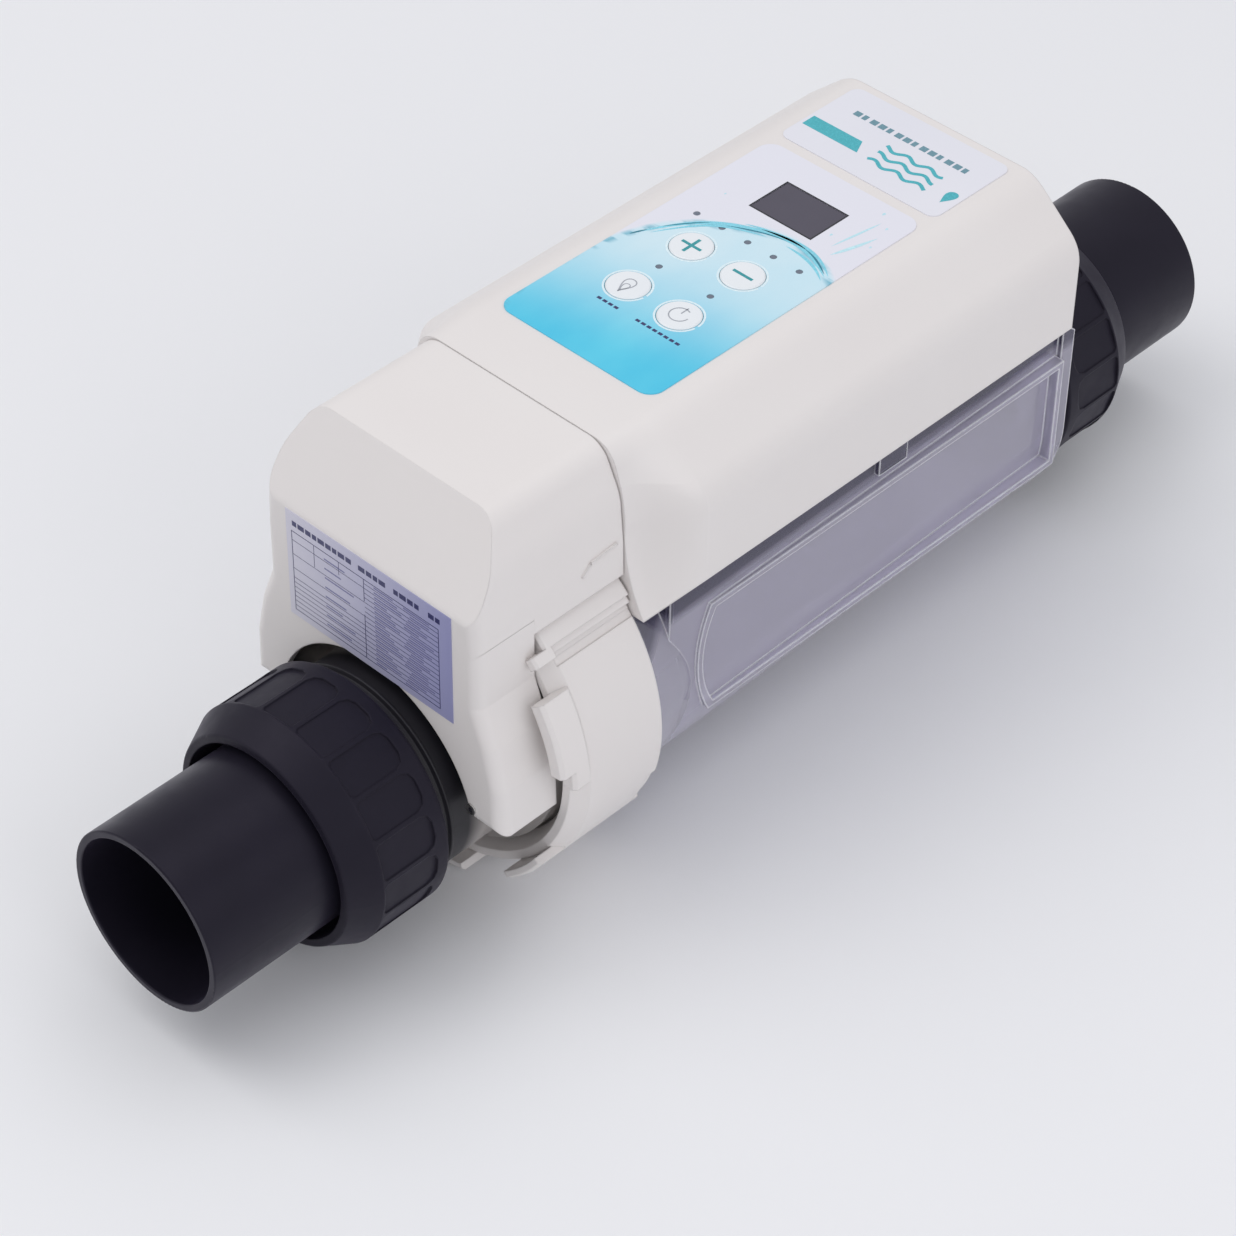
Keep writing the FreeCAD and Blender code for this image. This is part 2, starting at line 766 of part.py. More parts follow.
def cell_body():
    """The clear body is lofted and hollowed as one moulding, so it is a shape read from the sheet's sizes."""
    back = sheet.cell_back
    outer = cell_form(0, sheet.trough_front, back)
    outer = outer.fuse(along_y(sheet.mouth_outer, sheet.mouth_front, sheet.neck_front, sheet.mouth_height))
    outer = outer.fuse(along_y(sheet.neck_radius, sheet.neck_front - 1.5, sheet.neck_front, sheet.mouth_height))
    for turn in range(3):
        start = sheet.mouth_front + 4 + 6 * turn
        outer = outer.fuse(along_y(sheet.mouth_thread, start, start + 2.2, sheet.mouth_height))
    for side in (-1, 1):
        outer = outer.fuse(side_panel(side))
    flange = Part.makeLoft([
        u_wire(back - 7, sheet.cell_far_half + 2.2, sheet.cell_centre, sheet.deck_height),
        u_wire(back, sheet.cell_far_half + 2.2, sheet.cell_centre, sheet.deck_height),
    ], True, True)
    outer = outer.fuse(flange).cut(rear_slope(0))
    wall = sheet.cell_wall
    inner = cell_form(wall, sheet.trough_front + wall, back - 4).cut(rear_slope(wall))
    inner = inner.fuse(along_y(sheet.mouth_bore, sheet.mouth_front - 1, sheet.neck_front + 0.5, sheet.mouth_height))
    outlet_face = sheet.overall_length - sheet.union_face
    spigot = threaded_spigot("outlet", "overall_length - union_face", "cell_back - 3", -1)
    doc.recompute()
    switch_hole = Part.makeCylinder(9.1, 12, Vector(0, sheet.switch_place, sheet.deck_height - 6))
    bore = along_y(sheet.water_bore + 1, back - 8, outlet_face + 1, 0)
    shape = outer.fuse(spigot.Shape).cut(inner).cut(bore).cut(switch_hole).removeSplitter()
    item = doc.addObject("Part::Feature", "clear_moulding")
    item.Shape = shape
    item.Placement = Placement()
    keep(item, "cell_body")


# ---------------------------------------------------------------- control box


def blend(near_point, far_point, share):
    """A point of the flare: it leaves the near section and joins the far one without a crease."""
    eased = share * share * (3 - 2 * share)
    return [first + (second - first) * eased for first, second in zip(near_point, far_point)]


def housing_wire(depth, inset, share, low):
    """The box's cross-section: side, rounded shoulder, sloped flank, rounded top edge and flat top."""
    wide, top = sheet.housing_half, sheet.hood_top
    shoulder, flat = sheet.shoulder_height, sheet.top_half
    pairs = [
        ((60, 60), (wide, low)),
        ((52.6, 78), (wide, (low + shoulder) / 2)),
        ((50.8, 97), (wide, shoulder - 7)),
        ((50.4, 105), (wide, shoulder)),
        ((48.7, 111.5), (wide - 5, shoulder + 4.6)),
        ((46.2, 119), (flat + 6.5, top - 5.4)),
        ((43.2, top), (flat + 0.5, top)),
        ((36, top), (flat - 5, top)),
    ]
    right = [blend(near_point, far_point, share) for near_point, far_point in pairs]
    right = [Vector(across - inset, depth, up - inset * (up - 60) / 66) for across, up in right]
    right[0].z -= inset
    left = [Vector(-point.x, depth, point.z) for point in right]

    def flank(points):
        side = Part.BSplineCurve()
        side.interpolate(points[0:3])
        corner, brow = Part.BezierCurve(), Part.BezierCurve()
        corner.setPoles(points[2:5])
        brow.setPoles(points[5:8])
        return [side.toShape(), corner.toShape(), Part.makeLine(points[4], points[5]), brow.toShape()]

    edges = flank(right) + [Part.makeLine(right[7], left[7])] + flank(left) + [Part.makeLine(left[0], right[0])]
    return Part.Wire(Part.__sortEdges__(edges))


def housing_form(inset, end):
    """The box flares from the hood's outline to its full width, then runs straight while its skirt deepens."""
    start, flare = sheet.housing_front + inset, sheet.housing_flare
    low, low_end = sheet.housing_low, sheet.housing_low_back
    shares = (0, 0.25, 0.5, 0.75, 1)
    flared = [housing_wire(start + (flare - start) * share, inset, share, low) for share in shares]
    run = [housing_wire(flare, inset, 1, low), housing_wire(end, inset, 1, low_end)]
    return Part.makeLoft(flared, True, False).fuse(Part.makeLoft(run, True, True))


def housing_form_object(name, inset, end):
    item = doc.addObject("Part::Feature", name)
    item.Shape = housing_form(inset, end)
    return item


def control_housing():
    outer = housing_form_object("housing_outer", 0, sheet.housing_back)
    inner = housing_form_object("housing_inner", sheet.housing_wall, sheet.housing_back - sheet.housing_wall)
    mouth = cylinder("neck_notch", "0", "housing_front - 1", "mouth_height", "neck_radius + 2.5", "34", "y")
    deck = box("deck_notch", "-(panel_plane)", "housing_back - 10", "deck_height - 8", "2 * panel_plane", "12", "8.3")
    plug_hole = box("plug_opening", "-17", "housing_front - 1", "93", "34", "6", "16")
    window = box("window_opening", "-(window_half)", "window_front", "hood_top - 6", "2 * window_half",
                 "window_back - window_front", "8")
    holes = [
        cylinder(f"button_hole_{side + 1}_{number}", signed(side, "button_side"), depth, "hood_top - 6",
                 "button_hole + 0.1", "8")
        for side in (-1, 1) for number, depth in enumerate(("button_near", "button_far"))
    ]
    holes += lamp_cylinders("lamp_hole", "hood_top - 6", "lamp_radius + 0.2", "8")
    gland = cylinder("gland_opening", "-25", "housing_back - 6", "86", "8", "8", "y")
    tools = fused("housing_tools", [inner, mouth, deck, plug_hole, window, gland] + holes)
    shell = cut("housing_shell", outer, tools)
    posts = [
        cylinder(f"board_post_{number}", x, y, "board_height + board_thick", "3.4",
                 "hood_top - 2 - board_height - board_thick")
        for number, (x, y) in enumerate(panel_board_places())
    ]
    pilots = [
        cylinder(f"board_pilot_{number}", x, y, "board_height", "1.1", "8")
        for number, (x, y) in enumerate(panel_board_places())
    ]
    bosses = [
        cylinder(f"tray_boss_{number}", x, y, "tray_floor + tray_thick", "3.6", "shoulder_height - tray_floor")
        for number, (x, y) in enumerate(tray_screw_places())
    ]
    pilots += [
        cylinder(f"tray_pilot_{number}", x, y, "tray_floor", "1.5", "16")
        for number, (x, y) in enumerate(tray_screw_places())
    ]
    inside = shared("bosses_inside", fused("bosses", bosses), outer)
    solid = fused("housing_posted", [shell, inside] + posts)
    keep(cut("housing_done", solid, fused("housing_pilots", pilots)), "control_housing")


def lamp_cylinders(prefix, z, radius, height):
    """One cylinder at each indicator lamp's place."""
    places = [(str(12 * step), "lamp_row") for step in range(-2, 3)]
    places += [("-(button_side)", "lamp_low_row"), ("button_side", "lamp_low_row")]
    return [
        cylinder(f"{prefix}_{number}", x, y, z, radius, height)
        for number, (x, y) in enumerate(places)
    ]


def tray_screw_places():
    return [(signed(side, "57.5"), depth) for side in (-1, 1) for depth in ("222", "321", "374")]


def control_base():
    """The tray that closes the box from below, stepped up over the cell's round neck."""
    body = new_body("tray")
    prism(body, "tray_floor_plate", [
        ("cell_front + 3", "tray_floor"),
        ("housing_back - housing_wall - 0.3", "tray_floor"),
        ("housing_back - housing_wall - 0.3", "tray_floor + tray_thick"),
        ("cell_front + 5.5", "tray_floor + tray_thick"),
        ("cell_front + 5.5", "tray_step + tray_thick"),
        ("housing_front + housing_wall + 0.4", "tray_step + tray_thick"),
        ("housing_front + housing_wall + 0.4", "tray_step"),
        ("cell_front + 3", "tray_step"),
    ], "-62.5", "125", plane="YZ_Plane")
    prism(body, "tray_trim_left", [
        ("-70", "tray_step - 4"),
        ("-46", "tray_step - 4"),
        ("-46", "tray_step + 8"),
        ("-70", "tray_step + 8"),
    ], "housing_front + 2", "housing_flare - housing_front + 4", remove=True)
    prism(body, "tray_trim_right", [
        ("46", "tray_step - 4"),
        ("70", "tray_step - 4"),
        ("70", "tray_step + 8"),
        ("46", "tray_step + 8"),
    ], "housing_front + 2", "housing_flare - housing_front + 4", remove=True)
    switch = cylinder("switch_clearance", "0", "switch_place", "tray_floor - 1", "13", "8")
    holes = [
        cylinder(f"tray_hole_{number}", x, y, "tray_floor - 1", "1.8", "6")
        for number, (x, y) in enumerate(tray_screw_places())
    ]
    posts = [
        cylinder(f"power_post_{number}", x, y, "tray_floor + tray_thick - 0.5", "3.4", "5.5")
        for number, (x, y) in enumerate(power_board_places())
    ]
    cleared = cut("tray_cleared", body, fused("tray_tools", [switch] + holes))
    pilots = fused("power_pilots", [
        cylinder(f"power_pilot_{number}", x, y, "tray_floor + tray_thick + 1", "1.1", "6")
        for number, (x, y) in enumerate(power_board_places())
    ])
    keep(cut("tray_done", fused("tray_posted", [cleared] + posts), pilots), "control_base")


def panel_board_places():
    return [(x, y) for x in ("-29", "29") for y in ("206", "329")]


def power_board_places():
    return [(x, y) for x in ("-44", "44") for y in ("226", "352")]


def housing_gasket():
    outer = box("gasket_outer", "-62.3", "cell_front + 8", "tray_floor + tray_thick", "124.6", "169", "2")
    inner = box("gasket_inner", "-61.3", "cell_front + 9", "tray_floor + tray_thick - 1", "122.6", "167", "4")
    keep(cut("gasket_frame", outer, inner), "housing_gasket")


def housing_screws():
    screws = []
    for number, (x, y) in enumerate(tray_screw_places()):
        head = cylinder(f"tray_screw_head_{number}", x, y, "tray_floor - 1.6", "3", "1.6")
        shank = cylinder(f"tray_screw_shank_{number}", x, y, "tray_floor", "1.48", "13")
        screws.append(fused(f"tray_screw_{number}", [head, shank]))
    keep(group("tray_screws", screws), "housing_screws")


def side_clips():
    """Spring clips that hook the tray to the rails along the cell's sides."""
    clips = []
    for side in (-1, 1):
        x = "cell_near_half + 0.6" if side > 0 else "-(cell_near_half + 3)"
        clips.append(box(f"clip_{side + 1}", x, "296", "47.5", "2.4", "15", "tray_floor - 47.5"))
    keep(group("clip_pair", clips), "side_clips")


def cable_gland():
    body = new_body("gland")
    body.Placement.Base = Vector(-25, 0, 86)
    turned(body, "gland_turned", [
        ("4", "housing_back - 10"),
        ("7.8", "housing_back - 10"),
        ("7.8", "housing_back"),
        ("11", "housing_back"),
        ("11", "housing_back + 5"),
        ("9.5", "housing_back + 6"),
        ("9.5", "housing_back + 15"),
        ("6", "housing_back + 20"),
        ("4", "housing_back + 20"),
    ])
    keep(body, "cable_gland")


# ---------------------------------------------------------------- electronics


def cell_connector():
    """A two-part connector in the plane between hood and box: the plug leaves with the electrode cartridge."""
    nose = box("socket_nose", "-16", "housing_front - 0.2", "94", "32", "8", "14")
    shell = box("socket_shell", "-16", "housing_front + 4", "tray_step + tray_thick", "32", "20",
                "108 - tray_step - tray_thick")
    hollow = box("socket_hollow", "-13.5", "housing_front - 1", "96.5", "27", "14", "9")
    keep(cut("socket_block", fused("socket_whole", [nose, shell]), hollow), "cell_socket")
    stem = box("plug_stem", "-10", "head_front - 10", "98.5", "20", "housing_front + 10 - head_front + 10", "5")
    riser = box("plug_riser", "-10", "head_front - 10", "62", "20", "6.5", "38")
    foot = box("plug_foot", "-10", "head_front - 10", "62", "20", "10", "12")
    keep(fused("plug_block", [stem, riser, foot]), "cell_plug")


def boards():
    board = box("panel_board", "-33", "201", "board_height", "66", "133", "board_thick")
    holes = fused("panel_board_holes", [
        cylinder(f"panel_board_hole_{number}", x, y, "board_height - 1", "1.3", "4")
        for number, (x, y) in enumerate(panel_board_places())
    ])
    keep(cut("panel_board_done", board, holes), "control_board")
    power = box("supply_board", "-49", "218", "tray_floor + tray_thick + 5", "98", "142", "1.6")
    power_holes = fused("supply_board_holes", [
        cylinder(f"supply_hole_{number}", x, y, "tray_floor + tray_thick + 4", "1.3", "4")
        for number, (x, y) in enumerate(power_board_places())
    ])
    keep(cut("supply_board_done", power, power_holes), "power_board")


def board_screws():
    screws = []
    for number, (x, y) in enumerate(panel_board_places()):
        head = cylinder(f"panel_screw_head_{number}", x, y, "board_height - 1.4", "2.4", "1.4")
        shank = cylinder(f"panel_screw_shank_{number}", x, y, "board_height", "1.08", "6")
        screws.append(fused(f"panel_screw_{number}", [head, shank]))
    for number, (x, y) in enumerate(power_board_places()):
        head = cylinder(f"power_screw_head_{number}", x, y, "tray_floor + tray_thick + 6.6", "2.4", "1.4")
        shank = cylinder(f"power_screw_shank_{number}", x, y, "tray_floor + tray_thick + 2", "1.08", "4.6")
        screws.append(fused(f"power_screw_{number}", [head, shank]))
    keep(group("board_screw_set", screws), "board_screws")


def supply_parts():
    top = "tray_floor + tray_thick + 6.6"
    core = box("core", "-36", "262", top, "34", "44", "26")
    winding = box("winding", "-40", "270", top + " + 4", "42", "28", "18")
    keep(fused("transformer_block", [core, winding]), "transformer")
    sink = [box("sink_base", "14", "236", top, "26", "60", "4")]
    for number in range(6):
        sink.append(box(f"sink_fin_{number}", f"14 + {number} * 4.9", "236", top + " + 4", "1.5", "60", "18"))
    keep(fused("sink_block", sink), "heat_sink")
    cans = [
        cylinder(f"can_{number}", str(20 + 14 * (number % 2)), str(312 + 16 * (number // 2)), top, "6", "20")
        for number in range(4)
    ]
    keep(group("can_set", cans), "capacitors")


def panel_parts():
    top = "board_height + board_thick"
    switches = [
        box(f"switch_{side + 1}_{number}", f"{signed(side, 'button_side')} - 3", f"{depth} - 3", top, "6", "6", "3.6")
        for side in (-1, 1) for number, depth in enumerate(("button_near", "button_far"))
    ]
    keep(group("switch_set", switches), "tact_switches")
    lamps = lamp_cylinders("lamp", top, "lamp_radius", "hood_top + 0.25 - board_height - board_thick")
    keep(group("lamp_set", lamps), "indicator_lamps")
    keep(box("segment_block", "-12.5", "window_front + 1.5", top, "25", "window_back - window_front - 3", "8.4"),
         "display_module")
    keep(box("window_pane", "-(window_half - 0.1)", "window_front + 0.1", "hood_top - 1", "2 * window_half - 0.2",
             "window_back - window_front - 0.2", "1.3"), "display_window")


def skin(name, label, half, front, back, corner, tools):
    """A printed film on the flat top."""
    body = new_body(name)
    prism(body, name + "_film", [
        (f"-({half})", front),
        (half, front),
        (half, back),
        (f"-({half})", back),
    ], "hood_top", "skin_thick", plane="XY_Plane")
    rounded(body, name + "_corners", corner, lambda a, b: abs(a.z - b.z) > 0.3)
    keep(cut(name + "_cut", body, fused(name + "_tools", tools)) if tools else body, label)


def panel_films():
    window = box("film_window", "-(window_half)", "window_front", "hood_top - 1", "2 * window_half",
                 "window_back - window_front", "3")
    holes = [
        cylinder(f"film_hole_{side + 1}_{number}", signed(side, "button_side"), depth, "hood_top - 1",
                 "button_hole", "3")
        for side in (-1, 1) for number, depth in enumerate(("button_near", "button_far"))
    ]
    holes += lamp_cylinders("film_lamp", "hood_top - 1", "lamp_radius + 0.1", "3")
    skin("overlay", "panel_overlay", "overlay_half", "overlay_front", "overlay_back", "6", [window] + holes)
    skin("nameplate", "name_plate", "plate_half", "name_front", "name_back", "4", [])


def buttons():
    """Each key is a turned cap and stem."""
    for label, side, depth in (
        ("button_plus", -1, "button_far"),
        ("button_minus", 1, "button_far"),
        ("button_boost", -1, "button_near"),
        ("button_standby", 1, "button_near"),
    ):
        x = signed(side, "button_side")
        cap = cylinder(label + "_cap", x, depth, "hood_top - 1.6", "button_radius", "1.6 + skin_thick + 0.1")
        crown = doc.addObject("Part::Cone", label + "_crown")
        bind(crown, Radius1="button_radius", Radius2="button_radius - 0.5", Height="0.4")
        bind(crown, Placement__Base__x=x, Placement__Base__y=depth)
        bind(crown, Placement__Base__z="hood_top + skin_thick + 0.1")
        stem = cylinder(label + "_stem", x, depth, "board_height + board_thick + 4.6", "2.5",
                        "hood_top - 1.6 - board_height - board_thick - 4.6")
        keep(fused(label + "_whole", [cap, crown, stem]), label)


# ---------------------------------------------------------------- flow switch


def flow_switch():
    """A switch plugged through the cell's deck near the outlet, with a paddle hanging in the water."""
    flange = cylinder("switch_flange", "0", "switch_place", "deck_height", "12", "2.4")
    barrel = cylinder("switch_barrel", "0", "switch_place", "50", "9", "deck_height - 50")
    cap = cylinder("switch_cap", "0", "switch_place", "deck_height + 2.4", "7", "8")
    fork = box("switch_fork", "-7", "switch_place - 5", "38", "14", "10", "12")
    gap = box("fork_gap", "-4.2", "switch_place - 6", "37", "8.4", "12", "12")
    pin_hole = cylinder("fork_pin_hole", "-8", "switch_place", "42", "1.55", "16", "x")
    forked = cut("switch_forked", fused("switch_whole", [flange, barrel, cap, fork]), fused("fork_tools", [gap, pin_hole]))
    keep(forked, "flow_switch")
    hub = cylinder("paddle_hub", "-4", "switch_place", "42", "3", "8", "x")
    pin_rod = cylinder("paddle_pin", "-7", "switch_place", "42", "1.5", "14", "x")
    vane = box("paddle_vane", "-4", "switch_place - 0.8", "14", "8", "1.6", "28")
    keep(fused("paddle_whole", [hub, pin_rod, vane]), "flow_paddle")


# ---------------------------------------------------------------- build and write

BUILDERS = (
    build_unions,
    electrode_head,
    mouth_oring,
    lock_ring,
    electrode_plates,
    plate_spacers,
    terminals,
    temperature_sensor,
    hood,
    hood_screws,
    rating_label,
    cell_body,
    control_housing,
    control_base,
    housing_gasket,
    housing_screws,
    side_clips,
    cable_gland,
    cell_connector,
    boards,
    board_screws,
    supply_parts,
    panel_parts,
    panel_films,
    buttons,
    flow_switch,
)

for build in BUILDERS:
    build()
    doc.recompute()

failed = [item.Name for item in doc.Objects if "Invalid" in item.State or "Error" in item.State]
if failed:
    raise RuntimeError("these objects failed: " + ", ".join(failed))

os.makedirs("parts", exist_ok=True)
for item in subparts:
    if item.Shape.isNull() or not item.Shape.isValid():
        raise RuntimeError(item.Label + " has no valid shape")
    item.Shape.exportStep(f"parts/{item.Label}.step")
    print(item.Label, len(item.Shape.Solids), round(item.Shape.Volume))
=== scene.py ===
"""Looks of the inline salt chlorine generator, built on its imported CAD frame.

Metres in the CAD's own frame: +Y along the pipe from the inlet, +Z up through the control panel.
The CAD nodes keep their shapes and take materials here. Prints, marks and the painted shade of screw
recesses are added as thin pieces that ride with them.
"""

import json
import math

import bmesh
import bpy
from mathutils import Matrix, Vector

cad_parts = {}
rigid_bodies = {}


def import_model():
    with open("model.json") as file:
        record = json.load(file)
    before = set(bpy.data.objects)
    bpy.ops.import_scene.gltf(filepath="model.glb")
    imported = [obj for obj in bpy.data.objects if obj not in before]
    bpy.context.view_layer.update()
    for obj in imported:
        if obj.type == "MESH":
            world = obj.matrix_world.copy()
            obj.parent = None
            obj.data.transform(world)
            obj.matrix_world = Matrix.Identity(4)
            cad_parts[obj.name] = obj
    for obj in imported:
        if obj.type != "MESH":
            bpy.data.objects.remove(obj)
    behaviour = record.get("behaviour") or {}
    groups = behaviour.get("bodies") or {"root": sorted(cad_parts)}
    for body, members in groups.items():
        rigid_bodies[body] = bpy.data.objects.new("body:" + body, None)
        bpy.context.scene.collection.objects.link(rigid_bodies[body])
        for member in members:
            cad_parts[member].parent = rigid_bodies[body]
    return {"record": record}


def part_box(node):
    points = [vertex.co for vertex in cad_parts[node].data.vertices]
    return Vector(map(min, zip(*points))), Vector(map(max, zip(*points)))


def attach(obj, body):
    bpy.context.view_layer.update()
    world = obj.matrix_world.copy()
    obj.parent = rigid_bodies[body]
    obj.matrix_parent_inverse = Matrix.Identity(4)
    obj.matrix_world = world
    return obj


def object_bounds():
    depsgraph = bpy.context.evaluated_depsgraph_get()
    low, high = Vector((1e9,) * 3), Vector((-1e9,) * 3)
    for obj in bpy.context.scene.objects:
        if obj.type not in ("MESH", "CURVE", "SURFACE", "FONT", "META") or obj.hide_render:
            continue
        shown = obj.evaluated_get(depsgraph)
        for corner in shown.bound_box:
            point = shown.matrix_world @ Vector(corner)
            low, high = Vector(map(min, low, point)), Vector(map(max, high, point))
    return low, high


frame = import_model()
cad_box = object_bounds()

MM = 0.001

# Thicknesses of the added pieces, and the gap that keeps them off the surface below, in metres.
PRINT = 0.06 * MM
THIN_PRINT = 0.03 * MM
FIRM_PRINT = 0.04 * MM
GAP = 0.01 * MM

# Places on the control panel, in millimetres.
KEY_LEFT, KEY_RIGHT = -12, 12
KEY_UPPER, KEY_LOWER = 269, 237.6
SHORE_X, SHORE_Y = 11, 228  # centre of the overlay's arched shoreline
SHORE_ACROSS, SHORE_ALONG = 50, 68  # its half widths


# ---------------------------------------------------------------- shader helpers


class Finish:
    """A Principled material and its node tree, with the few nodes that every finish here is made of."""

    def __init__(self, name, colour, roughness, **inputs):
        self.material = bpy.data.materials.new(name)
        self.material.use_nodes = True
        self.material.diffuse_color = (*colour, 1)
        self.tree = self.material.node_tree
        self.shader = self.tree.nodes["Principled BSDF"]
        self.put("Base Color", (*colour, 1))
        self.put("Roughness", roughness)
        for label, value in inputs.items():
            self.put(label.replace("_", " "), value)

    def put(self, label, value):
        """Set one of the shader's inputs, to a plain value or to another node's output."""
        self.feed(self.shader.inputs[label], value)

    def feed(self, socket, value):
        if isinstance(value, bpy.types.NodeSocket):
            self.tree.links.new(value, socket)
        else:
            socket.default_value = value

    def node(self, kind, **settings):
        made = self.tree.nodes.new("ShaderNode" + kind)
        for name, value in settings.items():
            setattr(made, name, value)
        return made

    def place(self):
        """The point in the object's own frame, in metres, so a finish stays put on a part that moves."""
        return self.node("TexCoord").outputs["Object"]

    def axis(self, name):
        split = self.node("SeparateXYZ")
        self.feed(split.inputs[0], self.place())
        return split.outputs[name]

    def noise(self, scale, detail=2.0, stretch=(1, 1, 1)):
        mapping = self.node("Mapping")
        self.feed(mapping.inputs["Vector"], self.place())
        mapping.inputs["Scale"].default_value = stretch
        made = self.node("TexNoise")
        self.feed(made.inputs["Vector"], mapping.outputs[0])
        self.feed(made.inputs["Scale"], scale)
        self.feed(made.inputs["Detail"], detail)
        return made.outputs["Fac"]

    def math(self, operation, first, second=0.0):
        made = self.node("Math", operation=operation)
        self.feed(made.inputs[0], first)
        self.feed(made.inputs[1], second)
        return made.outputs[0]

    def spread(self, value, low, high, to_low=0.0, to_high=1.0):
        """Map a value's range to another one, clamped."""
        made = self.node("MapRange")
        for number, part in enumerate((value, low, high, to_low, to_high)):
            self.feed(made.inputs[number], part)
        return made.outputs[0]

    def mix(self, factor, first, second):
        made = self.node("Mix", data_type="RGBA")
        self.feed(made.inputs["Factor"], factor)
        for socket, colour in ((made.inputs[6], first), (made.inputs[7], second)):
            self.feed(socket, (*colour, 1) if isinstance(colour, tuple) else colour)
        return made.outputs[2]

    def patchy(self, scale, detail, low, high):
        """Roughness that drifts between two values."""
        self.put("Roughness", self.spread(self.noise(scale, detail), 0.3, 0.7, low, high))

    def clouded(self, scale, detail, first, second):
        """Base colour that drifts between two colours."""
        self.put("Base Color", self.mix(self.noise(scale, detail), first, second))

    def rounded(self, radius):
        """The surface normal with its edges softened to a given radius."""
        soft = self.node("Bevel", samples=6)
        soft.inputs["Radius"].default_value = radius
        return soft.outputs[0]

    def edge(self, radius):
        """One along sharp edges, fading to nothing away from them."""
        facing = self.node("VectorMath", operation="DOT_PRODUCT")
        self.feed(facing.inputs[0], self.rounded(radius))
        self.feed(facing.inputs[1], self.node("NewGeometry").outputs["Normal"])
        return self.spread(facing.outputs["Value"], 0.995, 0.90)

    def bump(self, height, depth, strength=1.0, edge=0.0):
        """Relief of a given depth in metres, over edges softened to a given radius."""
        made = self.node("Bump")
        self.feed(made.inputs["Height"], height)
        self.feed(made.inputs["Distance"], depth)
        self.feed(made.inputs["Strength"], strength)
        if edge:
            self.feed(made.inputs["Normal"], self.rounded(edge))
        self.put("Normal", made.outputs[0])


# ---------------------------------------------------------------- finishes


def ivory_plastic():
    """Warm off-white ABS with a fine moulded texture, faint flow clouds and soft arrises."""
    done = Finish("ivory_plastic", (0.80, 0.765, 0.745), 0.42, Specular_IOR_Level=0.42)
    cloud = done.noise(16, 3)
    speck = done.spread(done.noise(2600, 2), 0.70, 0.78)
    colour = done.mix(cloud, (0.815, 0.785, 0.765), (0.785, 0.745, 0.725))
    done.put("Base Color", done.mix(done.math("MULTIPLY", speck, 0.12), colour, (0.60, 0.56, 0.53)))
    done.patchy(90, 3, 0.37, 0.47)
    done.bump(done.noise(1500, 3), 0.035 * MM, 0.35, edge=0.8 * MM)
    return done.material


def pressed_pvc(name, ringed):
    """Black PVC: turned lines round the pipe pieces, an even satin on the nuts."""
    done = Finish(name, (0.011, 0.010, 0.017), 0.36, Specular_IOR_Level=0.5, IOR=1.30)
    done.put("Sheen Weight", 0.06)
    done.put("Sheen Tint", (0.55, 0.48, 0.75, 1))
    done.put("Specular Tint", (0.86, 0.80, 1.0, 1))
    done.clouded(40, 3, (0.007, 0.0065, 0.011), (0.012, 0.0105, 0.018))
    satin = 0.32 if ringed else 0.42
    done.patchy(120, 4, satin, satin + 0.1)
    if ringed:
        lines = done.noise(1, 3, stretch=(6, 1300, 6))
        done.bump(lines, 0.05 * MM, 0.16, edge=0.5 * MM)
    else:
        done.bump(done.noise(900, 3), 0.03 * MM, 0.3, edge=0.9 * MM)
    return done.material


def smoky_clear():
    """The cell's clear moulding: lavender-grey, gently wavy, with a painted highlight along its edges and a
    painted shadow under the box.
    """
    done = Finish("smoky_clear", (0.70, 0.685, 0.79), 0.07, Transmission_Weight=0.8, IOR=1.38)
    # Painted highlight: near sharp edges the colour turns almost white and the moulding less clear.
    edge = done.edge(1.2 * MM)
    body = done.mix(done.noise(14, 2), (0.86, 0.835, 0.95), (0.79, 0.765, 0.89))
    # Painted shadow: from 40 mm up, the body colour turns dark violet under the control box.
    painted_shadow_mask = done.spread(done.axis("Z"), 40 * MM, 45 * MM)
    shaded = done.mix(painted_shadow_mask, body, (0.19, 0.18, 0.26))
    done.put("Base Color", done.mix(edge, shaded, (0.97, 0.97, 1.0)))
    done.put("Transmission Weight", done.spread(edge, 0.0, 1.0, 0.68, 0.1))
    done.patchy(60, 3, 0.04, 0.12)
    done.bump(done.noise(45, 2), 0.25 * MM, 0.22, edge=0.6 * MM)
    return done.material


def grey_plastic():
    """The electrode head: ivory moulding darkened to grey as painted shade under the hood; its spigot in
    front of the hood is black, painted shade in the gap behind the nut.
    """
    # Painted shade: the head's ivory is darkened to this grey where it lies under the hood.
    done = Finish("grey_plastic", (0.40, 0.375, 0.36), 0.48)
    grey = done.mix(done.noise(30, 3), (0.42, 0.395, 0.375), (0.36, 0.335, 0.325))
    # Painted shade: in front of the hood, in the gap behind the nut, the spigot turns black.
    past_gap_shade = done.spread(done.axis("Y"), 108 * MM, 116 * MM)
    done.put("Base Color", done.mix(past_gap_shade, (0.012, 0.011, 0.016), grey))
    done.bump(done.noise(1400, 3), 0.03 * MM, 0.35, edge=0.6 * MM)
    return done.material


def black_plastic():
    done = Finish("black_plastic", (0.018, 0.018, 0.022), 0.42)
    done.patchy(150, 3, 0.36, 0.5)
    done.bump(done.noise(1200, 3), 0.03 * MM, 0.4, edge=0.4 * MM)
    return done.material


def soft_rubber():
    done = Finish("soft_rubber", (0.014, 0.014, 0.015), 0.72, Specular_IOR_Level=0.3)
    done.bump(done.noise(700, 4), 0.05 * MM, 0.5)
    return done.material


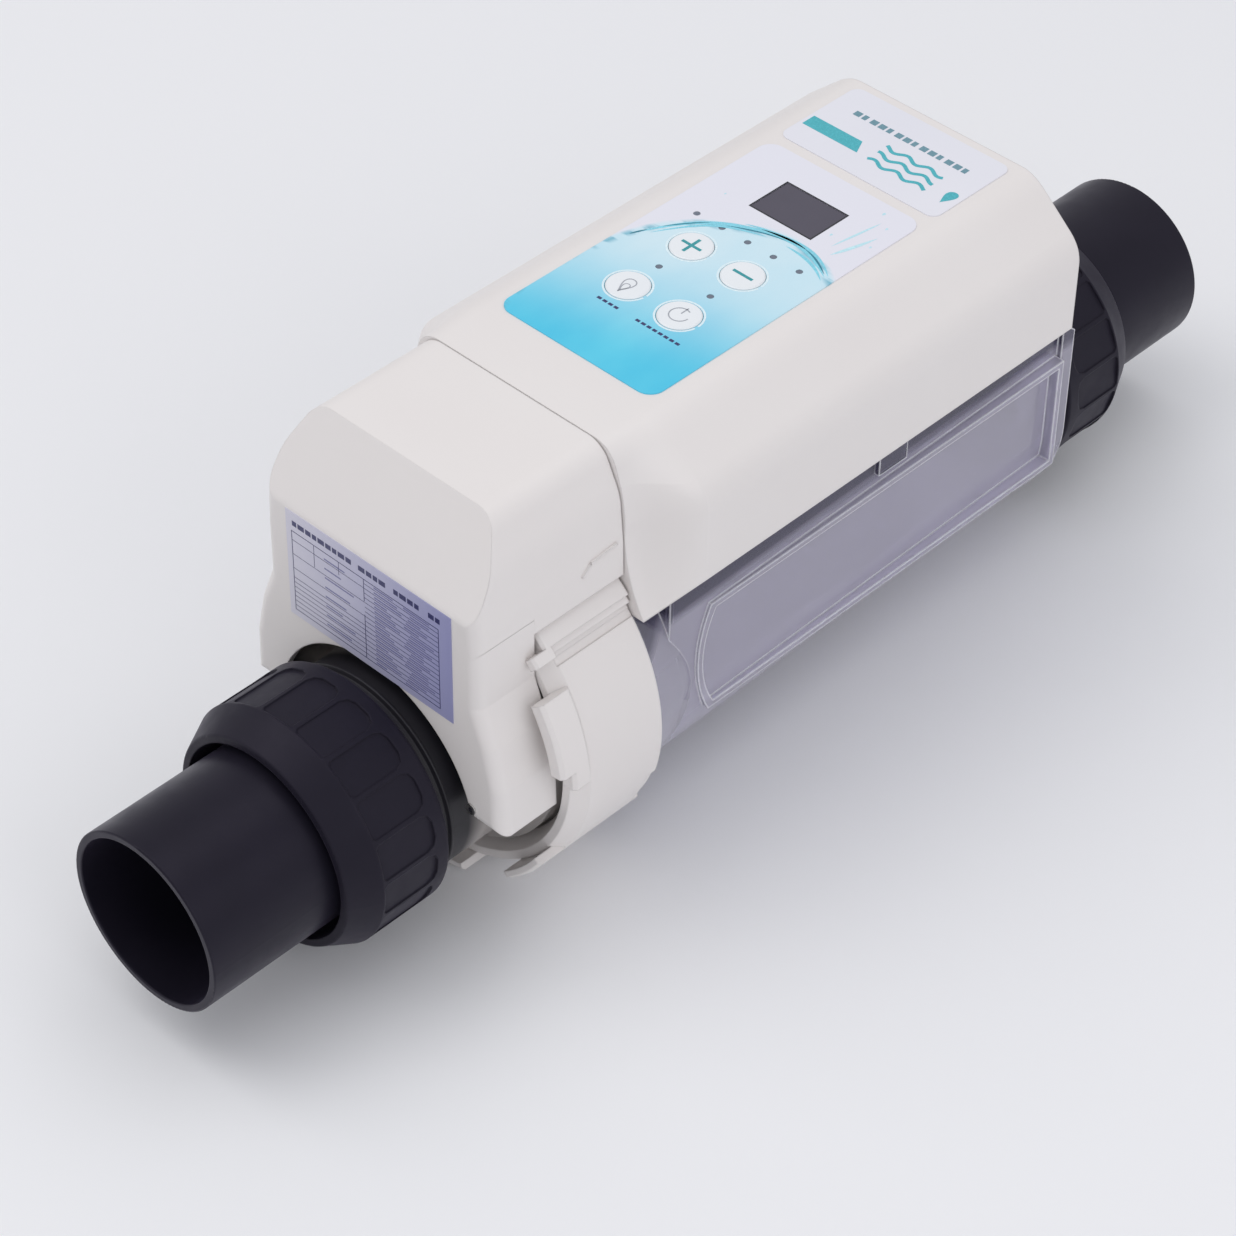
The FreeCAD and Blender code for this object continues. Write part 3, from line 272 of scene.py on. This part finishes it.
def coated_titanium():
    """Oxide-coated plates: dark, slightly mottled metal with a rolled grain along the cell."""
    done = Finish("coated_titanium", (0.34, 0.33, 0.39), 0.44, Metallic=0.6)
    done.clouded(60, 4, (0.38, 0.37, 0.43), (0.27, 0.26, 0.31))
    done.bump(done.noise(1, 3, stretch=(1500, 60, 1500)), 0.03 * MM, 0.4)
    return done.material


def turned_metal(name, colour, roughness):
    done = Finish(name, colour, roughness, Metallic=1.0)
    done.patchy(500, 3, roughness - 0.08, roughness + 0.1)
    done.bump(done.noise(2200, 2), 0.02 * MM, 0.4, edge=0.25 * MM)
    return done.material


def label_film():
    """Satin lilac film with a painted sheen, pale at one side and deepening towards the lock ring's side.
    """
    done = Finish("label_film", (0.50, 0.49, 0.66), 0.34)
    # Painted sheen: the colour runs from pale lilac to deep blue-violet across the film.
    across = done.spread(done.axis("X"), -38 * MM, 38 * MM)
    colour = done.mix(across, (0.68, 0.665, 0.76), (0.33, 0.335, 0.56))
    fleck = done.spread(done.noise(1800, 2), 0.35, 0.65, 0.94, 1.0)
    done.put("Base Color", done.mix(fleck, (0.30, 0.30, 0.42), colour))
    done.bump(done.noise(700, 2), 0.02 * MM, 0.3)
    return done.material


def panel_film():
    """The printed overlay: deep cyan at the near end paling to an arched shoreline, and white beyond it."""
    done = Finish("panel_film", (0.25, 0.68, 0.80), 0.30, Coat_Weight=0.25, Coat_Roughness=0.18)
    across, along = done.axis("X"), done.axis("Y")
    side = done.math("DIVIDE", done.math("SUBTRACT", across, SHORE_X * MM), SHORE_ACROSS * MM)
    reach = done.math("DIVIDE", done.math("SUBTRACT", along, SHORE_Y * MM), SHORE_ALONG * MM)
    squares = done.math("ADD", done.math("MULTIPLY", side, side), done.math("MULTIPLY", reach, reach))
    wave = done.math("MULTIPLY", done.math("SUBTRACT", done.noise(45, 3), 0.5), 0.10)
    shore = done.math("ADD", done.math("SUBTRACT", done.math("SQRT", squares), 1.0), wave)
    fade = done.spread(done.math("ADD", along, done.math("MULTIPLY", across, -0.25)), 200 * MM, 300 * MM)
    ripple = done.spread(done.noise(30, 4, stretch=(1.0, 0.5, 1)), 0.35, 0.65)
    deep = done.mix(ripple, (0.055, 0.56, 0.80), (0.10, 0.64, 0.84))
    pale = done.mix(ripple, (0.56, 0.80, 0.90), (0.66, 0.84, 0.91))
    ramp = done.node("ValToRGB")
    ramp.color_ramp.interpolation = "EASE"
    ramp.color_ramp.elements[0].position = 0.02
    ramp.color_ramp.elements[1].position = 0.72
    done.feed(ramp.inputs[0], fade)
    water = done.mix(ramp.outputs[0], deep, pale)
    beyond = done.spread(shore, 0.0, 0.035)
    ground = done.mix(beyond, water, (0.80, 0.80, 0.87))
    strands = done.spread(done.noise(1, 4, stretch=(60, 260, 1)), 0.48, 0.62)
    apart = done.math("ABSOLUTE", done.math("ADD", shore, 0.012))
    band = done.math("SUBTRACT", 1.0, done.spread(apart, 0.004, 0.045))
    wash = done.math("MULTIPLY", done.math("MULTIPLY", band, strands), 0.75)
    done.put("Base Color", done.mix(wash, ground, (0.10, 0.42, 0.56)))
    done.bump(done.noise(800, 2), 0.015 * MM, 0.3)
    return done.material


def white_film():
    done = Finish("white_film", (0.80, 0.80, 0.86), 0.30, Coat_Weight=0.25, Coat_Roughness=0.18)
    done.clouded(20, 2, (0.82, 0.82, 0.87), (0.77, 0.775, 0.84))
    done.bump(done.noise(800, 2), 0.015 * MM, 0.3)
    return done.material


def white_key():
    """The keys' white, faintly clouded."""
    done = Finish("white_key", (0.84, 0.87, 0.89), 0.32, Coat_Weight=0.2)
    done.clouded(70, 2, (0.86, 0.89, 0.91), (0.82, 0.855, 0.88))
    done.bump(done.noise(900, 2), 0.015 * MM, 0.3, edge=0.3 * MM)
    return done.material


def dark_window():
    done = Finish("dark_window", (0.062, 0.054, 0.082), 0.22, Coat_Weight=0.5, Coat_Roughness=0.12)
    done.clouded(60, 3, (0.070, 0.060, 0.090), (0.054, 0.048, 0.074))
    done.patchy(200, 3, 0.18, 0.28)
    return done.material


def lamp_lens():
    done = Finish("lamp_lens", (0.16, 0.19, 0.24), 0.3, Coat_Weight=0.4)
    done.clouded(900, 2, (0.17, 0.20, 0.25), (0.12, 0.14, 0.19))
    return done.material


def solder_mask():
    done = Finish("solder_mask", (0.02, 0.14, 0.05), 0.36)
    traces = done.spread(done.noise(1, 2, stretch=(900, 180, 1)), 0.5, 0.53)
    done.put("Base Color", done.mix(traces, (0.015, 0.11, 0.04), (0.03, 0.20, 0.08)))
    done.bump(traces, 0.03 * MM, 0.5)
    return done.material


def varnished_core():
    done = Finish("varnished_core", (0.20, 0.13, 0.07), 0.4)
    sheets = done.noise(1, 2, stretch=(1, 1, 2600))
    done.put("Base Color", done.mix(sheets, (0.25, 0.17, 0.10), (0.12, 0.08, 0.05)))
    done.bump(sheets, 0.1 * MM, 0.6)
    return done.material


def ink(name, colour):
    """Printing ink: flat colour broken by a little dot gain."""
    done = Finish(name, colour, 0.35)
    faint = tuple(min(1.0, part * 1.25 + 0.02) for part in colour)
    done.put("Base Color", done.mix(done.spread(done.noise(2400, 2), 0.45, 0.75), colour, faint))
    return done.material


def make_finishes():
    return {
        "ivory": ivory_plastic(),
        "black_pvc": pressed_pvc("black_pvc_pipe", ringed=True),
        "clear_cell": smoky_clear(),
        "grey_head": grey_plastic(),
        "titanium": coated_titanium(),
        "steel": turned_metal("stainless_steel", (0.58, 0.57, 0.56), 0.30),
        "brass": turned_metal("brass", (0.62, 0.42, 0.16), 0.28),
        "rubber": soft_rubber(),
        "label": label_film(),
        "panel_film": panel_film(),
        "white_film": white_film(),
        "window": dark_window(),
        "white_key": white_key(),
        "board": solder_mask(),
        "black_part": black_plastic(),
        "lamp": lamp_lens(),
        "aluminium": turned_metal("extruded_aluminium", (0.66, 0.66, 0.68), 0.38),
        "core": varnished_core(),
    }


def dress_nodes(finishes):
    """Give each CAD node the finish of its material slot; the nuts have their own, without turned lines."""
    nut_finish = pressed_pvc("black_pvc_nut", ringed=False)
    for part in frame["record"]["subparts"]:
        node = part["node"]
        finish = nut_finish if node.endswith("union_nut") else finishes[part["material_slot"]]
        for piece in bpy.data.objects:
            if piece.name == node and piece.type == "MESH":
                piece.data.materials.clear()
                piece.data.materials.append(finish)


# ---------------------------------------------------------------- prints and marks


def sheet_piece(name, shapes, seat, material, body, thick=PRINT):
    """Flat shapes drawn in a plane and given a little thickness.

    seat turns (across, up, out) in millimetres into a point in space.
    """
    mesh = bmesh.new()
    for shape in shapes:
        low = [mesh.verts.new(seat(across, up, 0)) for across, up in shape]
        high = [mesh.verts.new(seat(across, up, thick / MM)) for across, up in shape]
        mesh.faces.new(high)
        mesh.faces.new(list(reversed(low)))
        count = len(shape)
        for i in range(count):
            mesh.faces.new((low[i], low[(i + 1) % count], high[(i + 1) % count], high[i]))
    bmesh.ops.recalc_face_normals(mesh, faces=mesh.faces)
    data = bpy.data.meshes.new(name)
    mesh.to_mesh(data)
    mesh.free()
    data.materials.append(material)
    piece = bpy.data.objects.new(name, data)
    bpy.context.scene.collection.objects.link(piece)
    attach(piece, body)
    return piece


def bar(x0, y0, x1, y1):
    return [(x0, y0), (x1, y0), (x1, y1), (x0, y1)]


def stroke(points, width):
    """A ribbon of even width along a line of points, as one outline."""
    left, right = [], []
    for i, (x, y) in enumerate(points):
        x0, y0 = points[max(i - 1, 0)]
        x1, y1 = points[min(i + 1, len(points) - 1)]
        run = math.hypot(x1 - x0, y1 - y0)
        across = (-(y1 - y0) / run * width / 2, (x1 - x0) / run * width / 2)
        left.append((x + across[0], y + across[1]))
        right.append((x - across[0], y - across[1]))
    return left + right[::-1]


def arc_points(x, y, radius, start, sweep, steps=28):
    """Points along an arc, from the angle start through the angle sweep, both in degrees."""
    points = []
    for i in range(steps + 1):
        turn = math.radians(start + sweep * i / steps)
        points.append((x + radius * math.cos(turn), y + radius * math.sin(turn)))
    return points


def droplet(x, y, size, lean=0.0, steps=32):
    """A water drop: a round belly drawn up to a point, leaning to one side."""
    shape = []
    for i in range(steps):
        turn = 2 * math.pi * i / steps
        width = math.sin(turn) * math.sin(turn / 2) ** 1.6
        up = -math.cos(turn)
        tip = (1 - up) / 2
        shape.append((x + size * (0.78 * width + lean * (1 - tip)), y + size * up))
    return shape


def top_seat(height):
    """Seat for prints that lie on a level top."""
    return lambda across, up, out: Vector((across * MM, up * MM, height + out * MM))


def front_seat(depth):
    """Seat for prints on an upright face that looks towards the inlet."""
    return lambda across, up, out: Vector((across * MM, depth - out * MM, up * MM))


def key_icons(inks):
    """Plus, minus, boost drop and standby ring, each riding on its key."""
    seat = top_seat(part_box("button_plus")[1].z + GAP)
    arm, half = 4.4, 0.62
    x, y = KEY_LEFT, KEY_UPPER
    plus = [
        bar(x - arm, y - half, x + arm, y + half),
        bar(x - half, y + half, x + half, y + arm),
        bar(x - half, y - arm, x + half, y - half),
    ]
    sheet_piece("icon_plus", plus, seat, inks["teal"], "key_plus")
    minus = [bar(KEY_RIGHT - arm, y - half, KEY_RIGHT + arm, y + half)]
    sheet_piece("icon_minus", minus, seat, inks["teal"], "key_minus")
    ring = stroke(arc_points(KEY_RIGHT, KEY_LOWER, 3.7, 62, 300), 0.42)
    mark = bar(11.8, 238.4, 12.25, 242.2)
    sheet_piece("icon_standby", [ring, mark], seat, inks["grey"], "key_standby")
    outline = droplet(KEY_LEFT, 236.6, 4.2)
    inner = droplet(KEY_LEFT, 235.5, 2.3, 0.12)
    drops = [stroke(outline + outline[:2], 0.4), stroke(inner + inner[:2], 0.34)]
    sheet_piece("icon_boost", drops, seat, inks["grey"], "key_boost")


def key_halos(inks):
    """The pale ring that the print leaves round each key."""
    seat = top_seat(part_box("panel_overlay")[1].z + GAP)
    halos = []
    for x in (KEY_LEFT, KEY_RIGHT):
        for y in (KEY_UPPER, KEY_LOWER):
            outer = arc_points(x, y, 9.0, 0, 350, 48)
            inner = arc_points(x, y, 8.25, 350, -350, 48)
            halos.append(outer + inner)
    sheet_piece("key_halos", halos, seat, inks["pale"], "cell", THIN_PRINT)


def shoreline(start, end, reach, swing, phase, steps=30):
    """A wavy run along the overlay's shoreline; reach is 1 on the line itself."""
    points = []
    for i in range(steps + 1):
        turn = math.radians(start + (end - start) * i / steps)
        scale = reach + swing * math.sin(phase + 9 * turn)
        x = SHORE_X + SHORE_ACROSS * scale * math.cos(turn)
        y = SHORE_Y + SHORE_ALONG * scale * math.sin(turn)
        points.append((x, y))
    return points


def tapered(points, width):
    """A ribbon that swells to its width in the middle and closes to a point at both ends."""
    left, right = [], []
    for i in range(1, len(points) - 1):
        (x0, y0), (x, y), (x1, y1) = points[i - 1], points[i], points[i + 1]
        run = math.hypot(x1 - x0, y1 - y0)
        half = width / 2 * math.sin(math.pi * i / (len(points) - 1)) ** 0.7
        left.append((x - (y1 - y0) / run * half, y + (x1 - x0) / run * half))
        right.append((x + (y1 - y0) / run * half, y - (x1 - x0) / run * half))
    return [points[0]] + left + [points[-1]] + right[::-1]


def overlay_water(inks, top):
    """Thin strands of water along the shoreline, with darker creases, two jets and a few drops."""
    seat = top_seat(top)
    aqua = [
        tapered(shoreline(64, 150, 0.985, 0.006, 0.4), 2.2),
        tapered(shoreline(64, 112, 1.005, 0.008, 2.0), 1.6),
        tapered(shoreline(100, 145, 0.955, 0.008, 1.0), 1.1),
        tapered(shoreline(63, 90, 0.95, 0.006, 3.0), 1.3),
    ]
    deep = [
        tapered(shoreline(66, 84, 0.992, 0.007, 1.2), 0.75),
        tapered(shoreline(92, 118, 0.972, 0.006, 0.2), 0.6),
        tapered(shoreline(124, 141, 0.994, 0.006, 2.2), 0.6),
        tapered(shoreline(146, 152, 0.985, 0.003, 0.0), 0.8),
    ]
    crease_seat = top_seat(top + 0.035 * MM)
    sheet_piece("water_strands", aqua, seat, inks["aqua"], "cell", THIN_PRINT)
    sheet_piece("water_creases", deep, crease_seat, inks["deep"], "cell", 0.02 * MM)
    jets = [
        tapered([(25 + 0.9 * i, 299 + 2.4 * i + 0.12 * i * i) for i in range(7)], 1.5),
        tapered([(22 + 0.5 * i, 303 + 3.2 * i) for i in range(8)], 1.0),
    ]
    drops = [
        droplet(22.5, 330, 1.0),
        droplet(29, 324, 0.8),
        droplet(32, 312, 0.7),
        droplet(17.5, 308, 0.8),
        droplet(-25, 300, 0.6),
    ]
    sheet_piece("water_spray", jets + drops, seat, inks["spray"], "cell", THIN_PRINT)


def overlay_prints(inks):
    """The overlay's water, the dashes under the lower keys and the window's border."""
    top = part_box("panel_overlay")[1].z + GAP
    seat = top_seat(top)
    overlay_water(inks, top)
    dashes = [bar(-15 + 2.6 * i, 225.2, -13.2 + 2.6 * i, 226.4) for i in range(4)]
    dashes += [bar(3.0 + 2.6 * i, 225.2, 4.8 + 2.6 * i, 226.4) for i in range(8)]
    sheet_piece("key_dashes", dashes, seat, inks["navy"], "cell", THIN_PRINT)
    low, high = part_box("display_window")
    x0, y0, x1, y1 = low.x / MM, low.y / MM, high.x / MM, high.y / MM
    rim = 0.6
    border = [
        bar(x0 - rim, y0 - rim, x1 + rim, y0),
        bar(x0 - rim, y1, x1 + rim, y1 + rim),
        bar(x0 - rim, y0, x0, y1),
        bar(x1, y0, x1 + rim, y1),
    ]
    sheet_piece("window_border", border, seat, inks["black"], "cell", FIRM_PRINT)


def plate_prints(inks):
    """Generic printing on the name plate: a plain band, three waves, a leaf-like drop and a dotted rule."""
    seat = top_seat(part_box("name_plate")[1].z + GAP)
    waves = []
    for row in range(3):
        line = [(-4 + 0.9 * i, 351.5 + 5 * row + 1.1 * math.sin(0.55 * i + row)) for i in range(31)]
        waves.append(stroke(line, 1.5))
    band = [(-35, 351.5), (-9, 351.5), (-12, 358), (-35, 358)]
    sheet_piece("plate_band", [band] + waves, seat, inks["turquoise"], "cell")
    drop = droplet(31.5, 353.4, 4.2, 0.2)
    sheet_piece("plate_drop", [drop], seat, inks["turquoise"], "cell")
    rule = [bar(-26 + 3.9 * i, 368.6, -26 + 3.9 * i + 2.9 - 0.9 * (i % 3 == 1), 371.4) for i in range(14)]
    sheet_piece("plate_rule", rule, seat, inks["slate"], "cell")


def label_prints(inks):
    """A ruled table with no words: a border, rows in two zones, columns and short dashes for entries."""
    seat = front_seat(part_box("rating_label")[0].y - GAP)
    left, right, low, high = -36.8, 33.5, 48.8, 83.8
    line = 0.28
    rules = [
        bar(left, low, right, low + line),
        bar(left, high - line, right, high),
        bar(left, low, left + line, high),
        bar(right - line, low, right, high),
    ]
    rows = 17
    for row in range(1, rows):
        up = low + (high - low) * row / rows
        begin = left if row < 8 or row % 3 == 0 else -2
        rules.append(bar(begin + line, up, right - line, up + 0.2))
    rules += [bar(-2, low + line, -2 + line, 68), bar(-2, 74, -2 + line, high - line)]
    rules += [bar(-26, 74, -26 + 0.2, high - line), bar(-14, 78, -14 + 0.2, high - line)]
    entries = []
    for row in range(rows):
        up = low + (high - low) * (row + 0.5) / rows
        for start, length in ((3, 5 + (7 * row) % 9), (17 + (5 * row) % 4, 6 + (3 * row) % 7)):
            entries.append(bar(start, up - 0.28, start + length, up + 0.32))
        if row % 2:
            entries.append(bar(-24 + (3 * row) % 6, up - 0.28, -14 + (5 * row) % 8, up + 0.32))
    sheet_piece("label_rules", rules, seat, inks["navy"], "cartridge", FIRM_PRINT)
    sheet_piece("label_entries", entries, seat, inks["indigo"], "cartridge", THIN_PRINT)
    title = []
    cursor = left + 0.6
    for number in range(22):
        length = 2.1 + (number * 5 % 3) * 0.5
        if number not in (9, 14, 19):
            title.append(bar(cursor, 86.2, cursor + length, 88.3))
        cursor += length + 0.65
    sheet_piece("label_title", title, seat, inks["navy"], "cartridge", FIRM_PRINT)


def hood_arrow(finishes):
    """The raised alignment mark on the hood's side."""
    side = 50.25  # how far out the hood's side stands

    def seat(across, up, out):
        return Vector(((side + out) * MM, across * MM, up * MM))

    shaft = stroke([(155.5, 90.5), (161, 91.0), (167.8, 91.6)], 0.9)
    barb = stroke([(155.2, 90.2), (151.6, 86.4)], 0.8)
    sheet_piece("alignment_mark", [shaft, barb], seat, finishes["ivory"], "cartridge", 1.1 * MM)


def screw_recess_shade(inks):
    """Black discs as painted shade in the hood screws' round sockets, and black crosses as painted shade in
    the recesses of those under the tray.
    """
    low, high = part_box("hood_screws")
    head = 2.2  # radius of a hood screw's head
    up = (low.z + high.z) / 2 / MM
    seat = front_seat(low.y - 0.005 * MM)
    for number, centre in enumerate((low.x / MM + head, high.x / MM - head)):
        # Painted shade: a black disc in each hood screw's socket.
        socket = arc_points(centre, up, 0.9, 0, 360, 16)[:-1]
        name = f"hood_screw_socket_{number}"
        sheet_piece(name, [socket], seat, inks["black"], "cartridge", THIN_PRINT)
    low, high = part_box("housing_screws")
    head = 3.0  # radius of a tray screw's head
    middle = 321  # where the middle pair of tray screws stands
    arm, half = 1.9, 0.35

    def under(across, up, out):
        return Vector((across * MM, up * MM, low.z - out * MM))

    # Painted shade: black crosses in the recesses of the tray screws.
    crosses = []
    for x in (low.x / MM + head, high.x / MM - head):
        for y in (low.y / MM + head, middle, high.y / MM - head):
            crosses.append(bar(x - arm, y - half, x + arm, y + half))
            crosses.append(bar(x - half, y + half, x + half, y + arm))
            crosses.append(bar(x - half, y - arm, x + half, y - half))
    sheet_piece("housing_screw_crosses", crosses, under, inks["black"], "cell", THIN_PRINT)


def make_prints(finishes):
    inks = {
        "teal": ink("ink_teal", (0.03, 0.30, 0.33)),
        "turquoise": ink("ink_turquoise", (0.06, 0.42, 0.48)),
        "grey": ink("ink_grey", (0.36, 0.38, 0.42)),
        "navy": ink("ink_navy", (0.03, 0.03, 0.12)),
        "indigo": ink("ink_indigo", (0.17, 0.17, 0.34)),
        "slate": ink("ink_slate", (0.14, 0.28, 0.34)),
        # black serves both the window's printed border and the painted shade in the screw recesses.
        "black": ink("ink_black", (0.012, 0.012, 0.018)),
        "aqua": ink("ink_aqua", (0.22, 0.62, 0.74)),
        "spray": ink("ink_spray", (0.50, 0.76, 0.84)),
        "deep": ink("ink_deep", (0.02, 0.20, 0.28)),
        "pale": ink("ink_pale", (0.70, 0.86, 0.92)),
    }
    key_icons(inks)
    key_halos(inks)
    overlay_prints(inks)
    plate_prints(inks)
    label_prints(inks)
    hood_arrow(finishes)
    screw_recess_shade(inks)


# ---------------------------------------------------------------- camera, light and floor


def make_camera():
    """The viewpoint: to the right of the inlet and above, with a long lens."""
    target = Vector((0.00451, 0.2176, -0.00205))
    place = Vector((0.6994, -0.5141, 0.9007))
    roll = math.radians(0.832)
    camera = bpy.data.objects.new("camera", bpy.data.cameras.new("camera"))
    bpy.context.scene.collection.objects.link(camera)
    aim = (target - place).to_track_quat("-Z", "Y")
    turn = aim.to_matrix().to_4x4() @ Matrix.Rotation(roll, 4, "Z")
    camera.matrix_world = Matrix.Translation(place) @ turn
    camera.data.lens = 110.43
    camera.data.sensor_width = 36.0
    camera.data.clip_start = 0.05
    bpy.context.scene.camera = camera


def area_light(name, place, target, size, power, colour=(1, 1, 1)):
    light = bpy.data.lights.new(name, "AREA")
    light.shape = "RECTANGLE"
    light.size, light.size_y = size
    light.energy = power
    light.color = colour
    lamp = bpy.data.objects.new(name, light)
    lamp.location = place
    lamp.rotation_euler = (Vector(target) - Vector(place)).to_track_quat("-Z", "Y").to_euler()
    bpy.context.scene.collection.objects.link(lamp)


def make_studio():
    """A bright backdrop and floor, with soft key, fill and top lights."""
    middle = (0.0, 0.25, 0.02)
    area_light("key", (-0.9, -0.5, 1.7), middle, (1.4, 1.4), 9, (1.0, 0.985, 0.97))
    area_light("fill", (1.7, 0.1, 1.0), middle, (1.6, 1.2), 6, (0.97, 0.97, 1.0))
    area_light("top", (0.1, 0.4, 2.0), middle, (1.8, 1.8), 7)
    world = bpy.data.worlds.new("studio")
    world.use_nodes = True
    backdrop = world.node_tree.nodes["Background"]
    backdrop.inputs["Color"].default_value = (0.95, 0.955, 1.0, 1)
    backdrop.inputs["Strength"].default_value = 0.62
    bpy.context.scene.world = world
    bpy.context.scene.view_settings.view_transform = "Standard"
    mesh = bpy.data.meshes.new("floor")
    floor_z = cad_box[0][2] - 0.5 * MM
    reach = 6.0
    outline = ((-reach, -reach), (reach, -reach), (reach, reach), (-reach, reach))
    mesh.from_pydata([(x, y, floor_z) for x, y in outline], [], [(0, 1, 2, 3)])
    floor = bpy.data.objects.new("floor", mesh)
    bpy.context.scene.collection.objects.link(floor)
    paint = Finish("floor_paint", (0.88, 0.885, 0.90), 0.7)
    mesh.materials.append(paint.material)


make_camera()
make_studio()
finishes = make_finishes()
dress_nodes(finishes)
make_prints(finishes)
